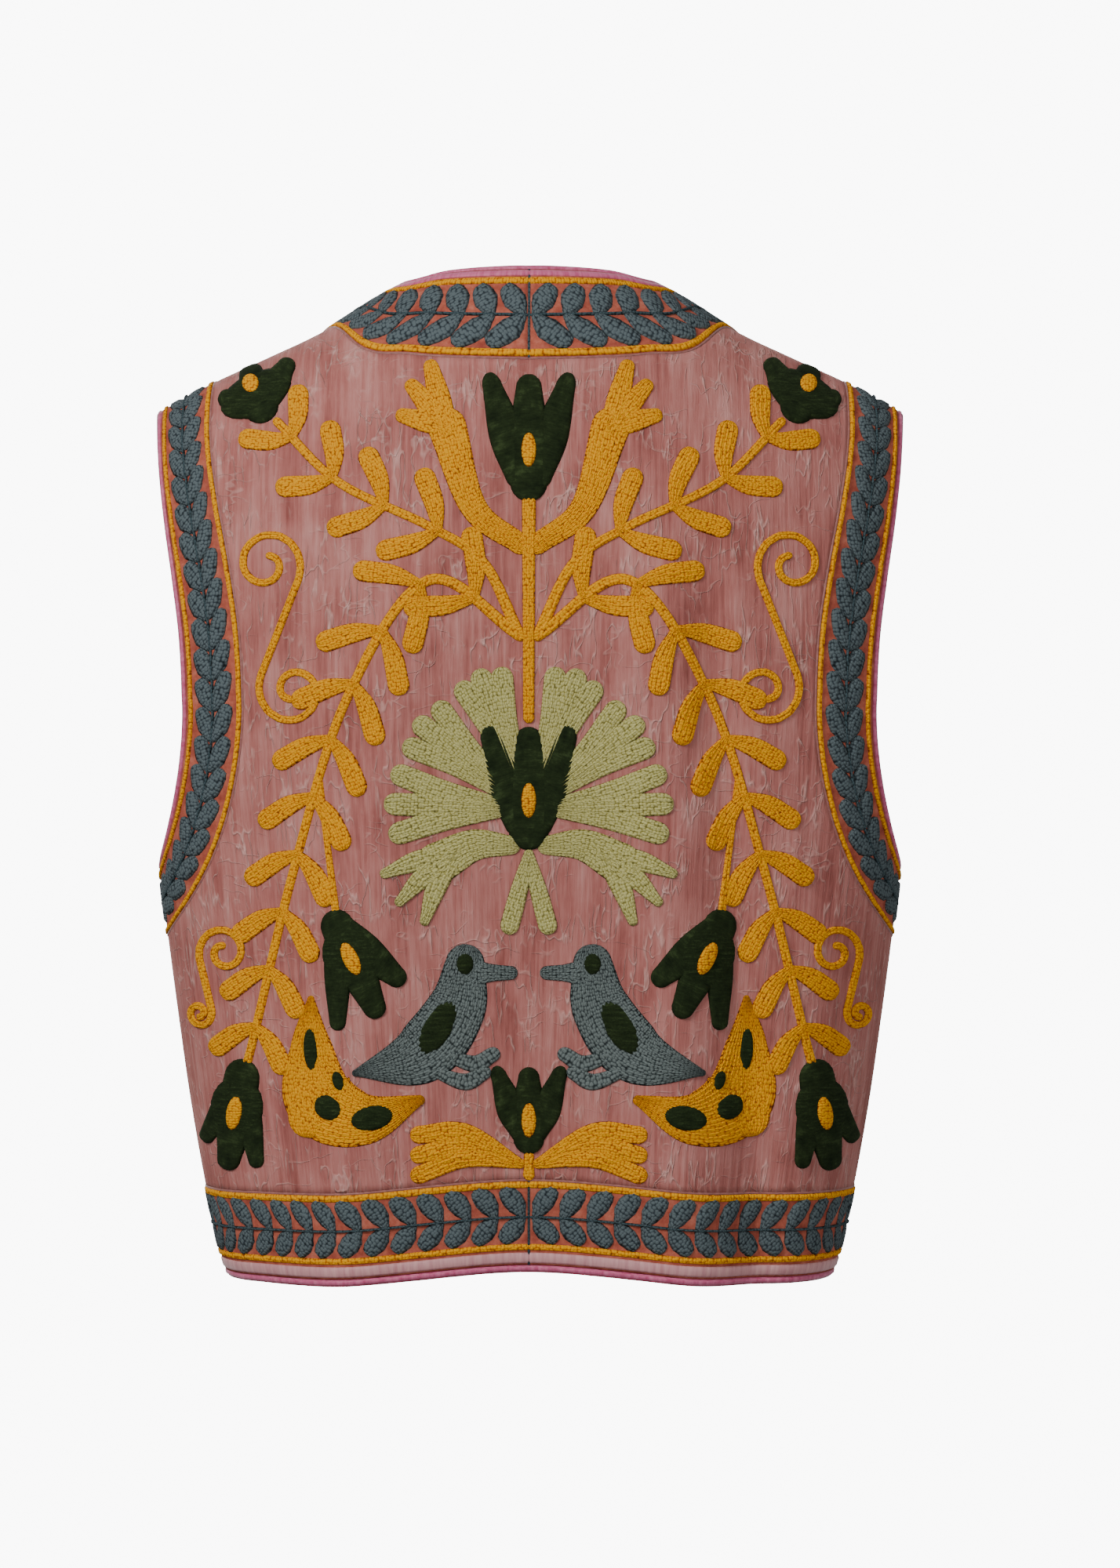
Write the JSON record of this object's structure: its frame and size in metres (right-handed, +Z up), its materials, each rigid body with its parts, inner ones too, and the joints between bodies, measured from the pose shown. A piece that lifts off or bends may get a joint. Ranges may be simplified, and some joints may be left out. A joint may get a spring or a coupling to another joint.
{
  "type": "embroidered waistcoat",
  "caption": "Sleeveless collarless waistcoat in its worn hollow form, velvet with folk embroidery, leaf-pattern borders and pink piping.",
  "frame": {"origin": "between the two shoulders, at the height where the garment rests on them", "axes": "+Z up, wearer faces -Y, +X is the wearer's left"},
  "size_m": [0.4258, 0.2341, 0.5687],
  "materials": {
    "velvet": "dusty pink crushed velvet",
    "band": "salmon border cloth with grey-blue leaf embroidery",
    "piping": "hot pink satin piping",
    "mustard": "mustard wool chain stitch",
    "green": "dark green felt applique",
    "pale": "pale green wool chain stitch",
    "slate": "slate grey wool chain stitch"
  },
  "bodies": {
    "root": {"back_panel": "velvet", "front_panel_left": "velvet", "front_panel_right": "velvet", "neck_band_left": "band", "armhole_band_left": "band", "hem_band_back_left": "band", "hem_band_front_left": "band", "neck_band_right": "band", "armhole_band_right": "band", "hem_band_back_right": "band", "hem_band_front_right": "band", "edge_piping": "piping", "hem_piping": "piping", "armhole_piping_left": "piping", "armhole_piping_right": "piping", "tulip_top": "green", "tulip_centre": "green", "tulip_bottom": "green", "shoulder_flower_left": "green", "shoulder_flower_right": "green", "side_flower_left": "green", "side_flower_right": "green", "bell_left": "green", "bell_right": "green", "fan_top_left": "pale", "fan_top_right": "pale", "fan_upper_left": "pale", "fan_upper_right": "pale", "fan_side_left": "pale", "fan_side_right": "pale", "fan_lower_left": "pale", "fan_lower_right": "pale", "fan_leg_left": "pale", "fan_leg_right": "pale", "bird_left": "slate", "paisley_left": "mustard", "base_leaf_left": "mustard", "spray_left": "mustard", "bird_right": "slate", "paisley_right": "mustard", "base_leaf_right": "mustard", "spray_right": "mustard", "stem": "mustard"}
  },
  "joints": []
}
